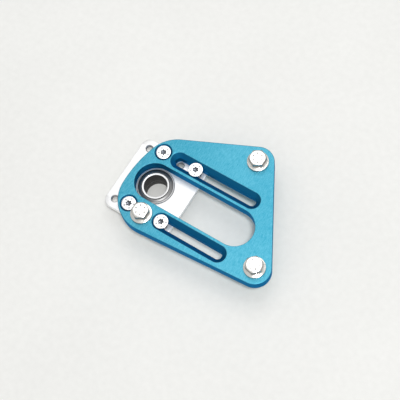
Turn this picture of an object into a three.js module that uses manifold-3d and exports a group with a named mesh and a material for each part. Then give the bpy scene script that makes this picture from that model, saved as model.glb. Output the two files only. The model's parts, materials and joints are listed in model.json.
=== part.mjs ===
// Slotted bearing plate of a pan tilt mount: an anodised plate with a window and two
// countersunk slots, a carriage clamped under it, and a pivot of two bearings in its hub.
// Millimetres, +Z up. Pieces are placed from the pivot axis at the plate's top face,
// and the whole assembly is then set down with the centre of its base at the origin.

import * as THREE from "three";
import { mergeVertices } from "three/addons/utils/BufferGeometryUtils.js";
import Module from "manifold-3d";

const wasm = await Module();
wasm.setup();

// ---- driving dimensions ----

const TURN_SIDES = 36; // sides of a turned piece
const BOLT_HOLE_SIDES = 24;
const TAPPED_SIDES = 20;
const SLOT_SEGMENTS = 12; // segments of a slot's round end and of the outline's arcs
const WINDOW_SEGMENTS = 16;
const CORNER_SEGMENTS = 8;
const CUT_PAST = 1; // how far a cutter runs past the face that it cuts
const MERGE_WITHIN = 1e-4;

const PLATE_THICK = 8;
const LUG_R = 10.4; // corner radius round each wide-end bolt
const NOSE_R = 23; // corner radius at the bearing end
const NOSE_ARC_R = 84; // the shallow arc that closes the bearing end
const LOWER_NOSE = [6, -9];
const UPPER_NOSE = [8.5, 12];

const WINDOW_HALF = 12.5;
const SLOT_END_X = 59; // centre of the far end of the window and of both slots

const SCREW_Y = 20;
const INDEX_X = -6; // fixed countersinks
const CLAMP_X = 18; // clamp screws, at the near end of their travel
const UPPER_SLOT_X = 6;
const LOWER_SLOT_X = 18;
const SCREW_HOLE_R = 2.8;
const SINK_DEPTH = 2.8; // a 90 degree countersink, so its depth is also its reach

const SCREW_HEAD_R = 4.65; // M5 countersunk
const SCREW_R = 2.4;
const HEAD_DROP = 0.4; // head below the plate's top face
const HEAD_RIM = 0.35;
const CLAMP_LENGTH = 12;
const INDEX_LENGTH = 7.3;
const LOBE_R = 1.9; // six-lobe recess, mean radius
const LOBE_WAVE = 0.26;
const LOBE_DEPTH = 1.8;
const LOBES = 6;
const LOBE_POINTS = 36;
const SCREW_TIP = 0.4; // chamfer on the end of a screw

const BOLT_SPOTS = { apex: [49.1, 44], corner: [83, -16.2], nose: [4.9, -21.9] };
const BOLT_LENGTHS = { apex: 22, corner: 22, nose: 7.5 };
const BOLT_R = 3; // M6
const BOLT_HOLE_R = 3.2;
const FLANGE_R = 6.9;
const FLANGE_RIM = 1.1;
const HEX_FLATS = 10;
const HEAD_HIGH = 6.6;
const FLANGE_SLOPE = 1; // height that the flange still rises from its rim to the hexagon
const HEAD_ROUND = [0.4, 1.4]; // how far the rounding goes in at the top, and down at the flange
const BOLT_TIP = 0.5;
const DISH_R = 3.3;
const DISH_DEPTH = 0.4;

const RUN_GAP = 0.1; // carriage below the plate
const CARRIAGE_HALF = [24, 26];
const CARRIAGE_CORNER_R = 5.5;
const CARRIAGE_THICK = 3;
const TAPPED_X = [-18, -6, 6, 18];
const TAPPED_R = 2.1;
const ENGAGED_R = 2.55; // tapped hole that holds a clamp screw, at its thread's outside
const HUB_R = 15;
const STAND = 22; // the plate's top face above the base
const SHOULDER_R = 10.9; // inside of the hub between its two bearing seats
const BASE_GAP = 0.1; // lower bearing above the hub's end

const BEARING_R = 12; // 15 x 24 x 5 bearing
const BORE_R = 7.5;
const BEARING_WIDE = 5;
const PRESS_GAP = 0.02;
const INNER_RING_R = 8.8;
const OUTER_RING_R = 10.85; // inside of the outer ring
const SHIELD_SEAT_R = 11.1;
const SHIELD_SEAT = 0.6;
const SHIELD_THICK = 0.3;
const SHIELD_SINK = 0.25;
const SHIELD_GAP = 0.15;
const SHIELD_FIT = 0.05;
const UPPER_BEARING_TOP = -7;

const BALL_R = 1.19;
const BALL_COUNT = 14;
const PITCH_R = 9.82;
const BALL_GAP = 0.07;
const CAGE_R = [9.35, 10.3];
const CAGE_HALF = 1.55;
const POCKET_GAP = 0.08;
const POCKET_SIDES = 8;

const CARRIAGE_TOP = -PLATE_THICK - RUN_GAP;
const LOWER_BEARING_BOTTOM = BASE_GAP - STAND;
const LOWER_BEARING_TOP = LOWER_BEARING_BOTTOM + BEARING_WIDE;
const UPPER_BEARING_BOTTOM = UPPER_BEARING_TOP - BEARING_WIDE;

// ---- finishes ----

const finish = (color, roughness, metalness) =>
  new THREE.MeshStandardMaterial({ color, roughness, metalness });
const BLUE_ANODISED = finish("#3f9fc4", 0.42, 0.7);
const BARE_ALUMINIUM = finish("#e6e7e6", 0.4, 0.8);
const ZINC = finish("#e4e3dc", 0.35, 0.85);
const BEARING_STEEL = finish("#b9bab8", 0.22, 0.9);
const SHIELD_STEEL = finish("#6d6d6c", 0.4, 0.8);

// ---- solids ----

function toSolid(geometry) {
  const bare = geometry.clone();
  bare.deleteAttribute("normal");
  bare.deleteAttribute("uv");
  const merged = mergeVertices(bare, MERGE_WITHIN);
  return new wasm.Manifold(
    new wasm.Mesh({
      numProp: 3,
      vertProperties: merged.attributes.position.array,
      triVerts: new Uint32Array(merged.index.array),
    }),
  );
}

function toGeometry(solid) {
  const mesh = solid.getMesh();
  const geometry = new THREE.BufferGeometry();
  geometry.setAttribute("position", new THREE.BufferAttribute(mesh.vertProperties, 3));
  geometry.setIndex(new THREE.BufferAttribute(mesh.triVerts, 1));
  geometry.computeVertexNormals();
  return geometry;
}

const cut = (body, cutters) =>
  toGeometry(cutters.reduce((left, cutter) => left.subtract(toSolid(cutter)), toSolid(body)));

// A turned solid from [radius, height] points, listed from the base upwards on the outside.
function turned(profile, sides = TURN_SIDES) {
  const points = profile.map(([radius, height]) => new THREE.Vector2(radius, height));
  return new THREE.LatheGeometry(points, sides).rotateX(Math.PI / 2);
}

// A turned tube: the profile is closed on itself, outside first.
const turnedTube = (profile) => turned([...profile, profile[0]]);

const rod = (radius, low, high, sides) =>
  turned([[0, low], [radius, low], [radius, high], [0, high]], sides);

const tube = (inner, outer, low, high) =>
  turnedTube([[inner, low], [outer, low], [outer, high], [inner, high]]);

function extruded(shape, low, high, curveSegments = SLOT_SEGMENTS) {
  const options = { depth: high - low, bevelEnabled: false, curveSegments };
  return new THREE.ExtrudeGeometry(shape, options).translate(0, 0, low);
}

function obround(x0, x1, y, radius) {
  const shape = new THREE.Shape();
  shape.absarc(x1, y, radius, -Math.PI / 2, Math.PI / 2, false);
  shape.absarc(x0, y, radius, Math.PI / 2, -Math.PI / 2 + 2 * Math.PI, false);
  shape.closePath();
  return shape;
}

// ---- plate ----

// Unit normal, pointing out, of the line that touches both circles on their outside.
function tangentAngle([ax, ay], ar, [bx, by], br) {
  const along = Math.atan2(by - ay, bx - ax);
  const lean = Math.acos((ar - br) / Math.hypot(bx - ax, by - ay));
  return along - lean;
}

// Centre of the arc that touches both nose corners from outside their outline.
function noseArcCentre() {
  const reach = NOSE_ARC_R - NOSE_R;
  const [lowX, lowY] = LOWER_NOSE;
  const [upX, upY] = UPPER_NOSE;
  const half = Math.hypot(upX - lowX, upY - lowY) / 2;
  const back = Math.sqrt(reach * reach - half * half);
  const unit = [(upX - lowX) / (2 * half), (upY - lowY) / (2 * half)];
  return [(lowX + upX) / 2 + unit[1] * back, (lowY + upY) / 2 - unit[0] * back];
}

// A belt round four corner circles, counter-clockwise, with the nose arc between the last two.
function plateOutline() {
  const { apex, corner } = BOLT_SPOTS;
  const bottom = tangentAngle(LOWER_NOSE, NOSE_R, corner, LUG_R);
  const right = tangentAngle(corner, LUG_R, apex, LUG_R);
  const top = tangentAngle(apex, LUG_R, UPPER_NOSE, NOSE_R);
  const centre = noseArcCentre();
  const upperLeft = Math.atan2(UPPER_NOSE[1] - centre[1], UPPER_NOSE[0] - centre[0]);
  const lowerLeft = Math.atan2(LOWER_NOSE[1] - centre[1], LOWER_NOSE[0] - centre[0]);
  const shape = new THREE.Shape();
  shape.absarc(...corner, LUG_R, bottom, right, false);
  shape.absarc(...apex, LUG_R, right, top, false);
  shape.absarc(...UPPER_NOSE, NOSE_R, top, upperLeft, false);
  shape.absarc(...centre, NOSE_ARC_R, upperLeft, lowerLeft + 2 * Math.PI, false);
  shape.absarc(...LOWER_NOSE, NOSE_R, lowerLeft + 2 * Math.PI, bottom + 2 * Math.PI, false);
  shape.closePath();
  return shape;
}

// The countersunk part of a hole or slot: at the plate's top it is SINK_DEPTH wider all round.
function countersink(shape) {
  return new THREE.ExtrudeGeometry(shape, {
    depth: CUT_PAST,
    bevelThickness: SINK_DEPTH,
    bevelSize: SINK_DEPTH,
    bevelSegments: 1,
    curveSegments: SLOT_SEGMENTS,
  });
}

function slottedPlate() {
  const low = -PLATE_THICK - CUT_PAST;
  const screwPlaces = [
    obround(UPPER_SLOT_X, SLOT_END_X, SCREW_Y, SCREW_HOLE_R),
    obround(LOWER_SLOT_X, SLOT_END_X, -SCREW_Y, SCREW_HOLE_R),
    ...[SCREW_Y, -SCREW_Y].map((y) =>
      new THREE.Shape().absarc(INDEX_X, y, SCREW_HOLE_R, 0, 2 * Math.PI, false),
    ),
  ];
  const boltHoles = Object.values(BOLT_SPOTS).map(([x, y]) =>
    rod(BOLT_HOLE_R, low, CUT_PAST, BOLT_HOLE_SIDES).translate(x, y, 0),
  );
  return cut(extruded(plateOutline(), -PLATE_THICK, 0), [
    extruded(obround(0, SLOT_END_X, 0, WINDOW_HALF), low, CUT_PAST, WINDOW_SEGMENTS),
    ...screwPlaces.map((shape) => extruded(shape, low, CUT_PAST)),
    ...screwPlaces.map(countersink),
    ...boltHoles,
  ]);
}

// ---- fasteners ----

// Six-lobe driving recess.
function lobeShape() {
  const points = Array.from({ length: LOBE_POINTS }, (_, i) => {
    const angle = (2 * Math.PI * i) / LOBE_POINTS;
    const radius = LOBE_R + LOBE_WAVE * Math.cos(LOBES * angle);
    return new THREE.Vector2(radius * Math.cos(angle), radius * Math.sin(angle));
  });
  return new THREE.Shape(points);
}

function countersunkScrew(length) {
  const top = -HEAD_DROP;
  const coneLow = top - HEAD_RIM - (SCREW_HEAD_R - SCREW_R);
  const body = turned([
    [0, top - length],
    [SCREW_R - SCREW_TIP, top - length],
    [SCREW_R, top - length + SCREW_TIP],
    [SCREW_R, coneLow],
    [SCREW_HEAD_R, top - HEAD_RIM],
    [SCREW_HEAD_R, top],
    [0, top],
  ]);
  return cut(body, [extruded(lobeShape(), top - LOBE_DEPTH, top + CUT_PAST)]);
}

function flangeBolt(length) {
  const shankAndFlange = turned([
    [0, -length],
    [BOLT_R - BOLT_TIP, -length],
    [BOLT_R, BOLT_TIP - length],
    [BOLT_R, 0],
    [FLANGE_R, 0],
    [FLANGE_R, FLANGE_RIM],
    [HEX_FLATS / 2, FLANGE_RIM + FLANGE_SLOPE],
    [0, FLANGE_RIM + FLANGE_SLOPE],
  ]);
  const hexCorner = HEX_FLATS / Math.sqrt(3);
  const hexagon = rod(hexCorner, FLANGE_RIM / 2, HEAD_HIGH, 6);
  const [roundIn, roundDown] = HEAD_ROUND;
  const rounding = turned([
    [0, 0],
    [FLANGE_R, 0],
    [FLANGE_R, HEAD_HIGH - roundDown],
    [HEX_FLATS / 2 - roundIn, HEAD_HIGH],
    [0, HEAD_HIGH],
  ]);
  const dish = rod(DISH_R, HEAD_HIGH - DISH_DEPTH, HEAD_HIGH + CUT_PAST);
  const head = toSolid(hexagon).intersect(toSolid(rounding)).subtract(toSolid(dish));
  return toGeometry(toSolid(shankAndFlange).add(head));
}

// ---- carriage ----

function carriageShape() {
  const [halfX, halfY] = CARRIAGE_HALF;
  const [x, y] = [halfX - CARRIAGE_CORNER_R, halfY - CARRIAGE_CORNER_R];
  const shape = new THREE.Shape();
  shape.absarc(x, -y, CARRIAGE_CORNER_R, -Math.PI / 2, 0, false);
  shape.absarc(x, y, CARRIAGE_CORNER_R, 0, Math.PI / 2, false);
  shape.absarc(-x, y, CARRIAGE_CORNER_R, Math.PI / 2, Math.PI, false);
  shape.absarc(-x, -y, CARRIAGE_CORNER_R, Math.PI, 1.5 * Math.PI, false);
  shape.closePath();
  return shape;
}

function bearingCarriage() {
  const plateLow = CARRIAGE_TOP - CARRIAGE_THICK;
  const plate = extruded(carriageShape(), plateLow, CARRIAGE_TOP, CORNER_SEGMENTS);
  const hub = rod(HUB_R, -STAND, CARRIAGE_TOP);
  const blank = toGeometry(toSolid(plate).add(toSolid(hub)));
  const tapped = TAPPED_X.flatMap((x) =>
    [-SCREW_Y, SCREW_Y].map((y) =>
      rod(
        x === CLAMP_X ? ENGAGED_R : TAPPED_R,
        plateLow - CUT_PAST,
        CARRIAGE_TOP + CUT_PAST,
        TAPPED_SIDES,
      ).translate(x, y, 0),
    ),
  );
  return cut(blank, [
    rod(BEARING_R + PRESS_GAP, UPPER_BEARING_BOTTOM, CARRIAGE_TOP + CUT_PAST),
    rod(BEARING_R + PRESS_GAP, -STAND - CUT_PAST, LOWER_BEARING_TOP),
    rod(SHOULDER_R, -STAND, CARRIAGE_TOP),
    ...tapped,
  ]);
}

// ---- bearings ----

// Raceway points [radius, height], from low to high, cut into a wall of the given radius.
// side is +1 for the outer ring's raceway and -1 for the inner ring's.
function raceway(wallRadius, centreHeight, side) {
  const radius = BALL_R + BALL_GAP;
  const reach = Math.acos(((wallRadius - PITCH_R) * side) / radius);
  return [-1, -0.5, 0, 0.5, 1].map((step) => [
    PITCH_R + side * radius * Math.cos(reach * step),
    centreHeight + radius * Math.sin(reach * step),
  ]);
}

function outerRing(low) {
  const high = low + BEARING_WIDE;
  const inside = raceway(OUTER_RING_R, low + BEARING_WIDE / 2, 1).reverse();
  return turnedTube([
    [SHIELD_SEAT_R, low],
    [BEARING_R, low],
    [BEARING_R, high],
    [SHIELD_SEAT_R, high],
    [SHIELD_SEAT_R, high - SHIELD_SEAT],
    [OUTER_RING_R, high - SHIELD_SEAT],
    ...inside,
    [OUTER_RING_R, low + SHIELD_SEAT],
    [SHIELD_SEAT_R, low + SHIELD_SEAT],
  ]);
}

function innerRing(low) {
  const high = low + BEARING_WIDE;
  return turnedTube([
    [BORE_R, low],
    [INNER_RING_R, low],
    ...raceway(INNER_RING_R, low + BEARING_WIDE / 2, -1),
    [INNER_RING_R, high],
    [BORE_R, high],
  ]);
}

const shield = (low) =>
  tube(INNER_RING_R + SHIELD_GAP, SHIELD_SEAT_R - SHIELD_FIT, low, low + SHIELD_THICK);

function ballCage(centreHeight) {
  const [inner, outer] = CAGE_R;
  const ring = tube(inner, outer, centreHeight - CAGE_HALF, centreHeight + CAGE_HALF);
  const pockets = Array.from({ length: BALL_COUNT }, (_, i) =>
    rod(BALL_R + POCKET_GAP, inner - CUT_PAST, outer + CUT_PAST, POCKET_SIDES)
      .rotateY(Math.PI / 2)
      .rotateZ((2 * Math.PI * i) / BALL_COUNT)
      .translate(0, 0, centreHeight),
  );
  return cut(ring, pockets);
}

function ball(index, centreHeight) {
  const angle = (2 * Math.PI * index) / BALL_COUNT;
  return new THREE.IcosahedronGeometry(BALL_R, 1).translate(
    PITCH_R * Math.cos(angle),
    PITCH_R * Math.sin(angle),
    centreHeight,
  );
}

// ---- assembly ----

const assembly = new THREE.Group();

function piece(name, geometry, material, [x, y] = [0, 0]) {
  const mesh = new THREE.Mesh(geometry, material);
  mesh.name = name;
  mesh.position.set(x, y, 0);
  assembly.add(mesh);
}

function addBearing(name, low) {
  const centreHeight = low + BEARING_WIDE / 2;
  piece(`${name}_outer_ring`, outerRing(low), BEARING_STEEL);
  piece(`${name}_inner_ring`, innerRing(low), BEARING_STEEL);
  piece(`${name}_ball_cage`, ballCage(centreHeight), SHIELD_STEEL);
  piece(`${name}_shield_below`, shield(low + SHIELD_SINK), SHIELD_STEEL);
  const shieldTop = low + BEARING_WIDE - SHIELD_SINK - SHIELD_THICK;
  piece(`${name}_shield_above`, shield(shieldTop), SHIELD_STEEL);
  for (let i = 0; i < BALL_COUNT; i += 1) {
    const number = String(i + 1).padStart(2, "0");
    piece(`${name}_ball_${number}`, ball(i, centreHeight), BEARING_STEEL);
  }
}

piece("slotted_plate", slottedPlate(), BLUE_ANODISED);
for (const [side, y] of [["upper", SCREW_Y], ["lower", -SCREW_Y]]) {
  piece(`index_screw_${side}`, countersunkScrew(INDEX_LENGTH), ZINC, [INDEX_X, y]);
  piece(`clamp_screw_${side}`, countersunkScrew(CLAMP_LENGTH), ZINC, [CLAMP_X, y]);
}
for (const [place, spot] of Object.entries(BOLT_SPOTS)) {
  piece(`flange_bolt_${place}`, flangeBolt(BOLT_LENGTHS[place]), ZINC, spot);
}
piece("bearing_carriage", bearingCarriage(), BARE_ALUMINIUM);
addBearing("upper_bearing", UPPER_BEARING_BOTTOM);
addBearing("lower_bearing", LOWER_BEARING_BOTTOM);
const spacer = tube(BORE_R, INNER_RING_R, LOWER_BEARING_TOP, UPPER_BEARING_BOTTOM);
piece("inner_spacer", spacer, BARE_ALUMINIUM);

const bounds = new THREE.Box3().setFromObject(assembly);
const centre = bounds.getCenter(new THREE.Vector3());
assembly.position.set(-centre.x, -centre.y, -bounds.min.z);

const part = new THREE.Group();
part.add(assembly);

export default part;
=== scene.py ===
# %% [markdown]
# # A slotted bearing plate for a pan tilt mount
#
# The real object is a wedge of blue anodised aluminium. A pivot bearing sits in a bare
# aluminium carriage under it, and the carriage is clamped through two long countersunk
# slots, so that the pivot can be shifted along the plate. This file loads the packed
# frame, which already says where each piece is and what it rides on, and then makes each
# piece again with the edges, threads and finishes that a workshop would give it.

import json
import math

import bmesh
import bpy
import numpy as np
from mathutils import Matrix, Vector
from mathutils.geometry import delaunay_2d_cdt

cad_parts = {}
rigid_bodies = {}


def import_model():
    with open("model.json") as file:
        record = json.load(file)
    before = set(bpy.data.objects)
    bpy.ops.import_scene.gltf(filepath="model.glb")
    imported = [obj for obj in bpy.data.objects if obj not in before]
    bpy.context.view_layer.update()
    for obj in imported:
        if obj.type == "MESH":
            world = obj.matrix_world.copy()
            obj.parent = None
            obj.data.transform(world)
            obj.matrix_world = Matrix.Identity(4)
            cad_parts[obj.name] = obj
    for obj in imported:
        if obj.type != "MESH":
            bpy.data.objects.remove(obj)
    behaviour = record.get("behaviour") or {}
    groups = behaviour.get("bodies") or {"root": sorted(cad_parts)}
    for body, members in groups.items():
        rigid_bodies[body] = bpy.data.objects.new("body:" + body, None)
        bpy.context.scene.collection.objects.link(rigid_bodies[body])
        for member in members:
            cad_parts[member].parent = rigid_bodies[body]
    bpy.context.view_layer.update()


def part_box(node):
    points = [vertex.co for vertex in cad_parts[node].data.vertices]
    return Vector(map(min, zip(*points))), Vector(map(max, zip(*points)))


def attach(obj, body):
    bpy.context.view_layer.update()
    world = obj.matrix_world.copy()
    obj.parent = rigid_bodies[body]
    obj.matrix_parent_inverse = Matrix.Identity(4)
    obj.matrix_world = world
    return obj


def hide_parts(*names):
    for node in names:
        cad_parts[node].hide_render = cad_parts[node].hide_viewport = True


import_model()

# %% [markdown]
# ## Where things are
#
# Every place is read from the frame. The pivot axis is the middle of the upper inner ring,
# and the height that all depths are taken from is the plate's top face. Sizes on the
# plate are kept in millimetres from that point, because that is how it is dimensioned on a
# drawing, and `put` turns them into metres in the frame.

# %% Places from the frame
MM = 0.001


def node_centre(node):
    low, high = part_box(node)
    return (low + high) / 2


PIVOT = node_centre("upper_bearing_inner_ring")
PLATE_LOW, PLATE_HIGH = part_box("slotted_plate")
ORIGIN = Vector((PIVOT.x, PIVOT.y, PLATE_HIGH.z))
BASE = -ORIGIN.z / MM


def put(points):
    """Points in millimetres from the pivot, as metres in the frame."""
    return np.asarray(points, float) * MM + np.array(ORIGIN)


def spot(node):
    """The middle of a node, in millimetres from the pivot."""
    away = (node_centre(node) - ORIGIN) / MM
    return away.x, away.y


def top_and_bottom(node):
    low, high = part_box(node)
    return (high.z - ORIGIN.z) / MM, (low.z - ORIGIN.z) / MM


BOLTS = {name: spot("flange_bolt_" + name) for name in ("apex", "corner", "nose")}
INDEX_X = spot("index_screw_upper")[0]
CLAMP_X, SCREW_Y = spot("clamp_screw_upper")
print("pivot axis at", [round(c, 4) for c in ORIGIN], "bolts at", BOLTS)

# %% [markdown]
# ## Camera
#
# The camera looks down on the plate from about 68 degrees above the bench, with a long
# lens, so that round holes stay nearly round and the walls on the near side just show.
# Its directions are built from azimuth, elevation and roll, which can be read and changed
# one at a time.

# %% Camera
AZIMUTH, ELEVATION, ROLL = math.radians(45.08), math.radians(67.913), math.radians(13.75)
AIM = (31.47, 4.07, 0)
DISTANCE = 612.8
LENS = 89.4

back = Vector(
    (
        math.sin(AZIMUTH) * math.cos(ELEVATION),
        -math.cos(AZIMUTH) * math.cos(ELEVATION),
        math.sin(ELEVATION),
    )
)
level = Vector((math.cos(AZIMUTH), math.sin(AZIMUTH), 0))
upward = back.cross(level)
across = level * math.cos(ROLL) - upward * math.sin(ROLL)
upright = level * math.sin(ROLL) + upward * math.cos(ROLL)

camera = bpy.data.objects.new("camera", bpy.data.cameras.new("camera"))
camera.data.lens = LENS
camera.data.clip_end = 20
place = Matrix((across, upright, back)).transposed().to_4x4()
place.translation = Vector(put(AIM)) + back * DISTANCE * MM
camera.matrix_world = place
bpy.context.scene.collection.objects.link(camera)
bpy.context.scene.camera = camera
print("camera stands at", [round(c, 3) for c in place.translation])

# %% [markdown]
# ## Nodes by arithmetic
#
# A finish is a small graph of shader nodes, and graphs are hard to read when they are wired
# by hand. `Wire` wraps the output of a node, so that ordinary arithmetic on wires adds Math
# nodes. Every other node comes from one method, `Finish.node`, which takes the node's
# type, its settings, and the values or wires of its sockets.


# %% Wires and finishes
class Wire:
    """The output of a node, on which arithmetic adds Math nodes."""

    def __init__(self, finish, socket):
        self.finish = finish
        self.socket = socket

    def _math(self, operation, first, second):
        return self.finish.node("ShaderNodeMath", {"operation": operation}, {0: first, 1: second})

    def __add__(self, other):
        return self._math("ADD", self, other)

    def __radd__(self, other):
        return self._math("ADD", other, self)

    def __sub__(self, other):
        return self._math("SUBTRACT", self, other)

    def __rsub__(self, other):
        return self._math("SUBTRACT", other, self)

    def __mul__(self, other):
        return self._math("MULTIPLY", self, other)

    def __rmul__(self, other):
        return self._math("MULTIPLY", other, self)


def set_stops(ramp, stops):
    """Makes a colour ramp run through (position, grey) stops."""
    while len(ramp.elements) < len(stops):
        ramp.elements.new(1.0)
    for element, (position, grey) in zip(ramp.elements, stops):
        element.position = position
        element.color = (grey, grey, grey, 1)


class Finish:
    """A material on Blender's main shader, with constants set on the shader's own sockets."""

    def __init__(self, name, slot, **constants):
        self.slot = slot
        self.material = bpy.data.materials.new(name)
        self.material.use_nodes = True
        self.tree = self.material.node_tree
        self.shader = self.tree.nodes["Principled BSDF"]
        for socket, value in constants.items():
            self.shader.inputs[socket.replace("_", " ")].default_value = value

    def node(self, kind, settings=None, sockets=None, output=0):
        made = self.tree.nodes.new(kind)
        for name, value in (settings or {}).items():
            if name == "stops":
                set_stops(made.color_ramp, value)
            else:
                setattr(made, name, value)
        for key, value in (sockets or {}).items():
            self.feed(self._socket(made.inputs, key), value)
        return Wire(self, self._socket(made.outputs, output))

    @staticmethod
    def _socket(sockets, key):
        if isinstance(key, int):
            return sockets[key]
        return next(s for s in sockets if s.identifier == key)

    def feed(self, socket, value):
        if isinstance(value, Wire):
            self.tree.links.new(value.socket, socket)
        else:
            socket.default_value = value

    def surface(self, **inputs):
        for name, value in inputs.items():
            self.feed(self.shader.inputs[name.replace("_", " ")], value)

    def noise(self, scale, detail=2.0, roughness=0.5, stretch=(1, 1, 1), turn=(0, 0, 0)):
        """Noise in millimetres over the piece, stretched and turned; scale is in cycles per mm."""
        coords = self.node("ShaderNodeTexCoord", output="Object")
        size = tuple(scale / MM * s for s in stretch)
        mapped = self.node(
            "ShaderNodeMapping", {}, {"Vector": coords, "Rotation": turn, "Scale": size}
        )
        return self.node(
            "ShaderNodeTexNoise",
            {},
            {"Vector": mapped, "Scale": 1.0, "Detail": detail, "Roughness": roughness},
        )

    def turned_noise(self, scale, detail=2.0):
        """Noise that only changes with the distance from the pivot, as on a lathe."""
        coords = self.node("ShaderNodeTexCoord", output="Object")
        from_axis = self.node(
            "ShaderNodeVectorMath", {"operation": "SUBTRACT"}, {0: coords, 1: tuple(ORIGIN)}
        )
        flat = self.node(
            "ShaderNodeVectorMath", {"operation": "MULTIPLY"}, {0: from_axis, 1: (1, 1, 0)}
        )
        radius = self.node("ShaderNodeVectorMath", {"operation": "LENGTH"}, {0: flat}, "Value")
        along = self.node("ShaderNodeCombineXYZ", {}, {"X": radius})
        return self.node(
            "ShaderNodeTexNoise", {}, {"Vector": along, "Scale": scale / MM, "Detail": detail}
        )

    def blend(self, factor, first, second):
        """A colour between two."""
        return self.node(
            "ShaderNodeMix",
            {"data_type": "RGBA"},
            {"Factor_Float": factor, "A_Color": first, "B_Color": second},
            output="Result_Color",
        )

    def painted_shade(self):
        """The shade attribute, which paints shade: 0 on open faces, and up to 1 in sockets, bores
        and grooves.
        """
        return self.node("ShaderNodeAttribute", {"attribute_name": "shade"}, {}, output="Fac")

    def shaded(self, open_colour, painted_shade_colour):
        """A colour that goes to another one, the painted shade colour, where the piece carries the
        shade attribute.
        """
        return self.blend(self.painted_shade(), open_colour, painted_shade_colour)

    def bump(self, height, strength, depth_mm):
        return self.node(
            "ShaderNodeBump", {}, {"Height": height, "Strength": strength, "Distance": depth_mm * MM}
        )


def linear(red, green, blue):
    """A colour given in the 0 to 255 steps of a paint chart, as the shader wants it."""
    steps = [c / 255 for c in (red, green, blue)]
    return (*[((c + 0.055) / 1.055) ** 2.4 if c > 0.04045 else c / 12.92 for c in steps], 1)


# %% [markdown]
# ## Floor and light
#
# The bench is plain and pale, and faintly mottled as paper is. A soft key light stands high
# on the camera's side, so that its light reaches the bench through the slots and the
# window. A wide, weak panel stands on the other side, where the flat faces mirror it.
# The surroundings are brighter overhead than near the bench, because bare metal shows
# whatever stands round it.


# %% Floor and lights
def make_floor():
    # the bench glows faintly in its own colour, a painted light that lifts its shadows a little
    floor_finish = Finish("bench", "", Roughness=0.9, Specular_IOR_Level=0.2, Emission_Strength=0.01)
    cloud = floor_finish.noise(0.01, detail=3) * 0.5 + floor_finish.noise(0.25, detail=3) * 0.5
    paper = floor_finish.blend(cloud, linear(229, 229, 226), linear(248, 248, 245))
    floor_finish.surface(Base_Color=paper, Emission_Color=paper)
    mesh = bpy.data.meshes.new("floor")
    reach = 6.0  # metres, far past what the camera sees
    corners = [(-reach, -reach, 0), (reach, -reach, 0), (reach, reach, 0), (-reach, reach, 0)]
    mesh.from_pydata(corners, [], [(0, 1, 2, 3)])
    mesh.materials.append(floor_finish.material)
    floor = bpy.data.objects.new("floor", mesh)
    bpy.context.scene.collection.objects.link(floor)


def soft_light(name, direction, distance, size, power):
    lamp = bpy.data.lights.new(name, "AREA")
    lamp.shape = "DISK"
    lamp.size = size
    lamp.energy = power
    holder = bpy.data.objects.new(name, lamp)
    away = Vector(direction).normalized()
    holder.location = Vector(put(AIM)) + away * distance
    holder.rotation_mode = "QUATERNION"
    holder.rotation_quaternion = away.to_track_quat("Z", "Y")
    bpy.context.scene.collection.objects.link(holder)


def make_surroundings(stops):
    """A grey dome; stops are (height, grey) from the horizon at 0 to straight up at 1."""
    world = bpy.data.worlds.new("studio")
    world.use_nodes = True
    nodes, links = world.node_tree.nodes, world.node_tree.links
    coords = nodes.new("ShaderNodeTexCoord")
    split = nodes.new("ShaderNodeSeparateXYZ")
    ramp = nodes.new("ShaderNodeValToRGB")
    set_stops(ramp.color_ramp, stops)
    links.new(coords.outputs["Generated"], split.inputs[0])
    links.new(split.outputs["Z"], ramp.inputs[0])
    links.new(ramp.outputs[0], nodes["Background"].inputs["Color"])
    bpy.context.scene.world = world


make_floor()
soft_light("key_light", (0.26, -0.15, 0.94), 2.4, 0.36, 25.0)
soft_light("overhead_panel", (-0.13, 0.33, 0.93), 0.75, 0.5, 0.88)
make_surroundings([(0.0, 0.1), (0.35, 0.36), (0.7, 0.54), (1.0, 0.6)])
bpy.context.scene.view_settings.view_transform = "Standard"

# %% [markdown]
# ## Finishes
#
# Anodising is a clear dyed skin on metal, so the blue is a metallic colour with a fine
# grain that runs along the plate, where it was brushed before dyeing. The carriage is
# bare aluminium, the screws and bolts have bright zinc plate, and the bearing rings are
# ground steel. Each gets its own colour drift, roughness and small bump, and all of them
# read the piece's own coordinates, so the grain stays on the metal when it moves.
# Where a piece carries the shade attribute, each finish turns to a darker colour: this is painted
# shade, in walls, sockets, bores and grooves.


# %% Blue anodised aluminium
def blue_anodised():
    finish = Finish("anodised_blue", "blue_anodised", Metallic=0.92)
    finish.shader.inputs["Specular Tint"].default_value = (0.25, 0.5, 0.75, 1)
    grain = finish.noise(0.3, detail=4, roughness=0.6, stretch=(5, 1, 5))
    drift = finish.noise(0.03, detail=2)
    speck = finish.noise(2.2, detail=2)
    tone = grain * 0.5 + drift * 0.2 + speck * 0.3
    tone = finish.node("ShaderNodeValToRGB", {"stops": [(0.38, 0.0), (0.62, 1.0)]}, {"Fac": tone})
    brushed = finish.blend(tone, (0.036, 0.300, 0.435, 1), (0.122, 0.455, 0.595, 1))
    finish.surface(
        # the dark navy is painted shade on the plate's walls and countersinks
        Base_Color=finish.shaded(brushed, (0.009, 0.188, 0.395, 1)),
        Roughness=0.36 + grain * 0.14,
        Normal=finish.bump(grain * 0.6 + speck * 0.4, 0.4, 0.025),
    )
    return finish


# %% Bare aluminium, zinc plate and bearing steel
def bare_aluminium():
    finish = Finish("blasted_aluminium", "bare_aluminium", Metallic=0.9)
    blast = finish.noise(4.0, detail=3, roughness=0.6)
    drift = finish.noise(0.05)
    clean = finish.blend(drift, (0.92, 0.925, 0.93, 1), (0.97, 0.97, 0.965, 1))
    finish.surface(
        # the grey is painted shade, in the tapped holes
        Base_Color=finish.shaded(clean, (0.42, 0.42, 0.43, 1)),
        Roughness=0.36 + blast * 0.16,
        Normal=finish.bump(blast, 0.25, 0.015),
    )
    return finish


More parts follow.
